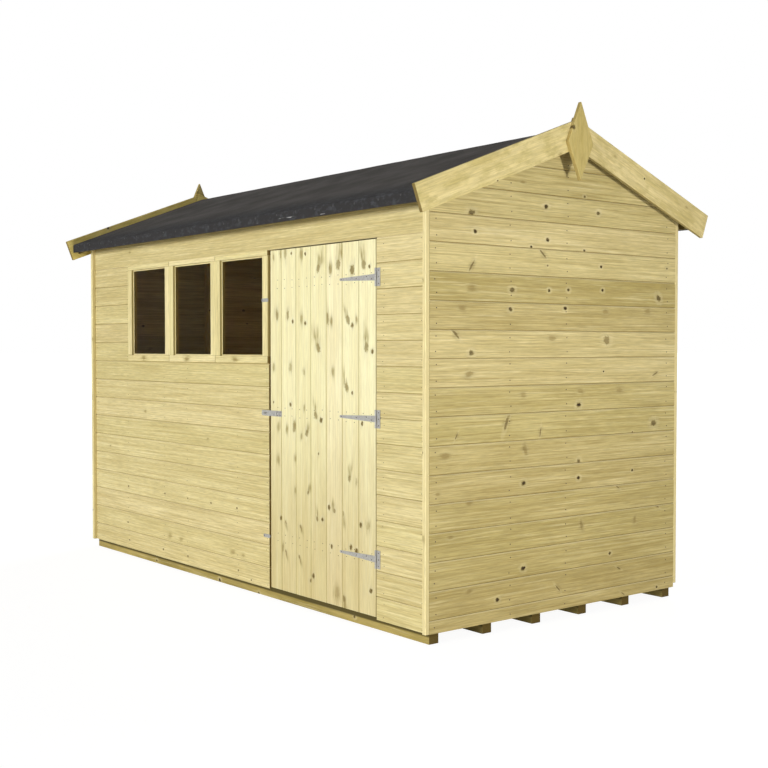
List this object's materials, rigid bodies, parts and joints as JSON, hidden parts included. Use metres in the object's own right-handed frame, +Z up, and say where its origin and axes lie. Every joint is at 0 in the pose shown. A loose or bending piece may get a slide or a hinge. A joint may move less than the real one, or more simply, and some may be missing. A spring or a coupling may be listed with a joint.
{
  "type": "wooden garden shed",
  "caption": "Apex-roofed boarded garden shed with fixed windows and a hinged door in its long front, felted roof, barge boards and kite finials.",
  "frame": {"origin": "centre of the footprint at ground level, on the undersides of the floor bearers", "axes": "+X along the long front from the windows to the door, +Y from the front wall to the back wall, +Z up"},
  "size_m": [3.244, 1.81, 2.222],
  "materials": {
    "floor_timber": "rough",
    "bearer_timber": "rough",
    "wall_boards": "matte",
    "framing": "rough",
    "trim": "matte",
    "door_timber": "matte",
    "barge_timber": "matte",
    "roof_felt": "rough",
    "glazing": "clear",
    "galvanised_steel": "satin"
  },
  "bodies": {
    "shed": {"back_wall": "wall_boards", "back_wall_rails": "framing", "back_wall_studs": "framing", "barge_board_left_back": "barge_timber", "barge_board_left_front": "barge_timber", "barge_board_right_back": "barge_timber", "barge_board_right_front": "barge_timber", "bearers": "bearer_timber", "corner_strip_back_left": "trim", "corner_strip_back_right": "trim", "corner_strip_front_left": "trim", "corner_strip_front_right": "trim", "eave_battens": "framing", "felt_back": "roof_felt", "felt_front": "roof_felt", "finial_left": "barge_timber", "finial_right": "barge_timber", "floor_deck": "floor_timber", "front_wall_below_windows": "wall_boards", "front_wall_beside_door": "wall_boards", "front_wall_beside_windows": "wall_boards", "front_wall_rails": "framing", "front_wall_studs": "framing", "front_wall_top_board": "wall_boards", "gable_rafters": "framing", "gable_rails": "framing", "gable_studs": "framing", "hinge_plate_1": "galvanised_steel", "hinge_plate_2": "galvanised_steel", "hinge_plate_3": "galvanised_steel", "left_gable": "wall_boards", "purlins": "framing", "right_gable": "wall_boards", "roof_boards_back": "framing", "roof_boards_front": "framing", "staple": "galvanised_steel", "turn_buttons": "galvanised_steel", "verge_battens_back": "framing", "verge_battens_front": "framing", "window_frame_1": "trim", "window_frame_2": "trim", "window_frame_3": "trim", "window_panes": "glazing"},
    "door": {"door_braces": "door_timber", "door_leaf": "door_timber", "door_ledges": "door_timber", "hinge_strap_1": "galvanised_steel", "hinge_strap_2": "galvanised_steel", "hinge_strap_3": "galvanised_steel", "hasp_plate": "galvanised_steel"},
    "hasp": {"hasp_leaf": "galvanised_steel"}
  },
  "joints": [
    {"name": "door_swing", "type": "hinge", "parent": "shed", "child": "door", "pos_m": [1.1865, -0.7665, 0.884], "axis": [0, 0, 1], "range_deg": [0, 170]},
    {"name": "hasp_swing", "type": "hinge", "parent": "door", "child": "hasp", "pos_m": [0.432, -0.766, 0.874], "axis": [0, 0, 1], "range_deg": [0, 170]}
  ]
}
